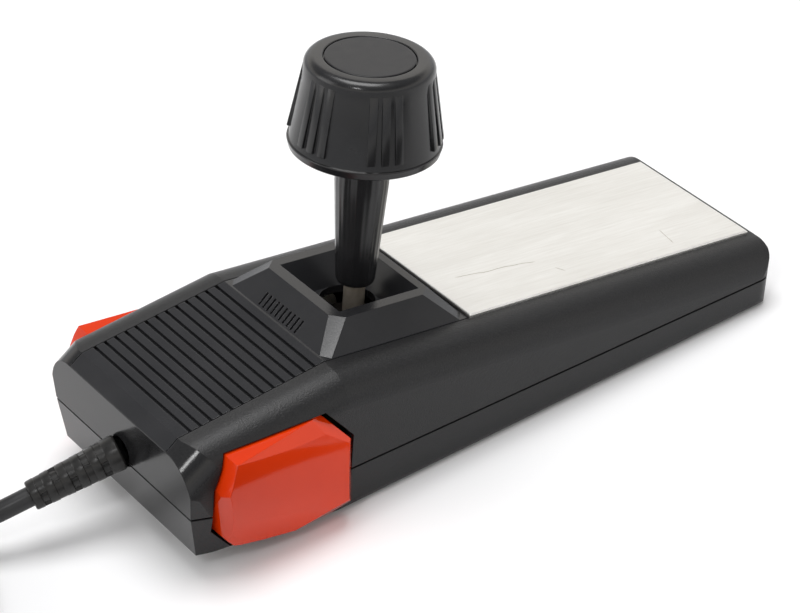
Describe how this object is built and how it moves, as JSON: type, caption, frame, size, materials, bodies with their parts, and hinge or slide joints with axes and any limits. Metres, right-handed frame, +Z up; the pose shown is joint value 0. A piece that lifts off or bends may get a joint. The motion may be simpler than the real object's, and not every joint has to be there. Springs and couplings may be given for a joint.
{
  "type": "joystick controller",
  "caption": "Hand-held joystick: long black two-shell case with a ribbed head, a metal palm plate, a tall sprung stick with a ribbed knob, orange side buttons and a coiled lead.",
  "frame": {"origin": "on the table, under the middle of the case's length and width", "axes": "+X towards the palm end of the case, away from the lead; +Y across the case, to the player's right; +Z up from the table"},
  "size_m": [0.3139, 0.0791, 0.0951],
  "materials": {
    "shell_plastic": "fine spark-eroded texture, satin black",
    "insert_plastic": "smooth satin black with fine grooves",
    "grip_metal": "brushed along its length",
    "pad_foam": "thin double-sided adhesive sheet",
    "screw_steel": "zinc plated",
    "stem_steel": "moulded brownish grey rod",
    "stick_plastic": "polished black moulding",
    "works_plastic": "natural ivory moulding",
    "pin_steel": "ground steel",
    "board_laminate": "green coated glass laminate",
    "contact_metal": "stamped and plated",
    "spring_steel": "bright spring wire",
    "button_plastic": "glossy orange-red moulding",
    "switch_plastic": "black moulding",
    "relief_rubber": "soft matt black moulding",
    "cord_jacket": "smooth extruded jacket",
    "wire_jacket": "thin coloured insulation",
    "plug_plastic": "fine textured black moulding",
    "plug_metal": "tin plated pressing"
  },
  "bodies": {
    "root": {"upper_shell": "shell_plastic", "lower_shell": "shell_plastic", "top_insert": "insert_plastic", "grip_plate": "grip_metal", "plate_pad": "pad_foam", "case_screws": "screw_steel", "pivot_bracket": "works_plastic", "bracket_screws": "screw_steel", "circuit_board": "board_laminate", "board_screws": "screw_steel", "stick_contacts": "contact_metal", "centring_spring": "spring_steel", "left_button_spring": "spring_steel", "left_button_switch": "switch_plastic", "right_button_spring": "spring_steel", "right_button_switch": "switch_plastic", "strain_relief": "relief_rubber", "inner_lead": "cord_jacket", "wire_header": "switch_plastic", "inner_wires": "wire_jacket", "cord_lead": "cord_jacket", "cord_coil": "cord_jacket", "cord_tail": "cord_jacket", "plug_hood": "plug_plastic", "plug_shell": "plug_metal", "plug_block": "switch_plastic", "plug_contacts": "contact_metal"},
    "gimbal": {"gimbal_ring": "works_plastic", "gimbal_pins": "pin_steel"},
    "stick": {"stick_stem": "stem_steel", "stick_pin": "pin_steel", "stick_shaft": "stick_plastic", "knob": "stick_plastic", "knob_cap": "stick_plastic", "knob_screw": "screw_steel", "actuator": "works_plastic", "actuator_screw": "screw_steel"},
    "left_fire": {"left_button": "button_plastic", "left_button_clip": "pin_steel"},
    "right_fire": {"right_button": "button_plastic", "right_button_clip": "pin_steel"}
  },
  "joints": [
    {"name": "stick_fore_aft", "type": "hinge", "parent": "root", "child": "gimbal", "pos_m": [-0.02058, 0, 0.0232], "axis": [0, 1, 0], "range_deg": [-10, 10], "stiffness_Nm_per_rad": 0.35, "deforming": ["centring_spring"]},
    {"name": "stick_side", "type": "hinge", "parent": "gimbal", "child": "stick", "pos_m": [-0.02058, 0, 0.0232], "axis": [0.9874, 0, -0.1582], "range_deg": [-10, 10], "stiffness_Nm_per_rad": 0.35},
    {"name": "left_fire_press", "type": "slide", "parent": "root", "child": "left_fire", "axis": [0, 1, 0], "range_m": [0, 0.0015], "stiffness_N_per_m": 400, "springref_m": -0.001, "deforming": ["left_button_spring"]},
    {"name": "right_fire_press", "type": "slide", "parent": "root", "child": "right_fire", "axis": [0, -1, 0], "range_m": [0, 0.0015], "stiffness_N_per_m": 400, "springref_m": -0.001, "deforming": ["right_button_spring"]}
  ]
}
